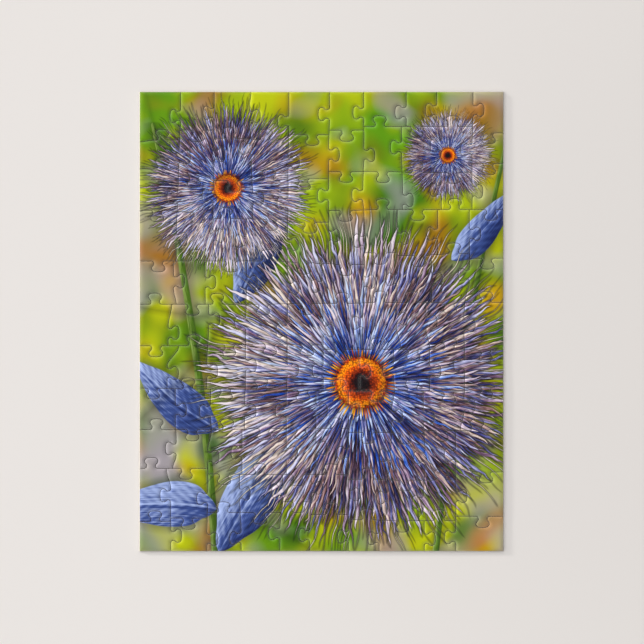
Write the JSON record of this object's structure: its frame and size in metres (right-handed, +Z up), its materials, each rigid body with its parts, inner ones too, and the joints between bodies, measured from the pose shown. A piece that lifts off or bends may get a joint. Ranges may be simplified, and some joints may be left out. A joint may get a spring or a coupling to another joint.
{
  "type": "jigsaw puzzle",
  "caption": "Rectangular die-cut cardboard jigsaw puzzle, put together and lying flat, with a printed picture of a shaggy blossom in a green meadow on its upper face and bare board below.",
  "frame": {"origin": "middle of the underside of the whole puzzle, on the surface it lies on", "axes": "+Z up out of the picture, +Y to the top edge of the picture, +X to its right edge"},
  "size_m": [0.202, 0.255, 0.002],
  "materials": {
    "printed_board": "satin"
  },
  "bodies": {
    "root": {"pieces_r01_c01_c02": "printed_board", "pieces_r01_c03_c04": "printed_board", "pieces_r01_c05_c06": "printed_board", "pieces_r01_c07_c08": "printed_board", "pieces_r01_c09_c10": "printed_board", "pieces_r02_c01_c02": "printed_board", "pieces_r02_c03_c04": "printed_board", "pieces_r02_c05_c06": "printed_board", "pieces_r02_c07_c08": "printed_board", "pieces_r02_c09_c10": "printed_board", "pieces_r03_c01_c02": "printed_board", "pieces_r03_c03_c04": "printed_board", "pieces_r03_c05_c06": "printed_board", "pieces_r03_c07_c08": "printed_board", "pieces_r03_c09_c10": "printed_board", "pieces_r04_c01_c02": "printed_board", "pieces_r04_c03_c04": "printed_board", "pieces_r04_c05_c06": "printed_board", "pieces_r04_c07_c08": "printed_board", "pieces_r04_c09_c10": "printed_board", "pieces_r05_c01_c02": "printed_board", "pieces_r05_c03_c04": "printed_board", "pieces_r05_c05_c06": "printed_board", "pieces_r05_c07_c08": "printed_board", "pieces_r05_c09_c10": "printed_board", "pieces_r06_c01_c02": "printed_board", "pieces_r06_c03_c04": "printed_board", "pieces_r06_c05_c06": "printed_board", "pieces_r06_c07_c08": "printed_board", "pieces_r06_c09_c10": "printed_board", "pieces_r07_c01_c02": "printed_board", "pieces_r07_c03_c04": "printed_board", "pieces_r07_c05_c06": "printed_board", "pieces_r07_c07_c08": "printed_board", "pieces_r07_c09_c10": "printed_board", "pieces_r08_c01_c02": "printed_board", "pieces_r08_c03_c04": "printed_board", "pieces_r08_c05_c06": "printed_board", "pieces_r08_c07_c08": "printed_board", "pieces_r08_c09_c10": "printed_board", "pieces_r09_c01_c02": "printed_board", "pieces_r09_c03_c04": "printed_board", "pieces_r09_c05_c06": "printed_board", "pieces_r09_c07_c08": "printed_board", "pieces_r09_c09_c10": "printed_board", "pieces_r10_c01_c02": "printed_board", "pieces_r10_c03_c04": "printed_board", "pieces_r10_c05_c06": "printed_board", "pieces_r10_c07_c08": "printed_board", "pieces_r10_c09_c10": "printed_board", "pieces_r11_c01_c02": "printed_board", "pieces_r11_c03_c04": "printed_board", "pieces_r11_c05_c06": "printed_board", "pieces_r11_c07_c08": "printed_board", "pieces_r11_c09_c10": "printed_board"}
  },
  "joints": []
}
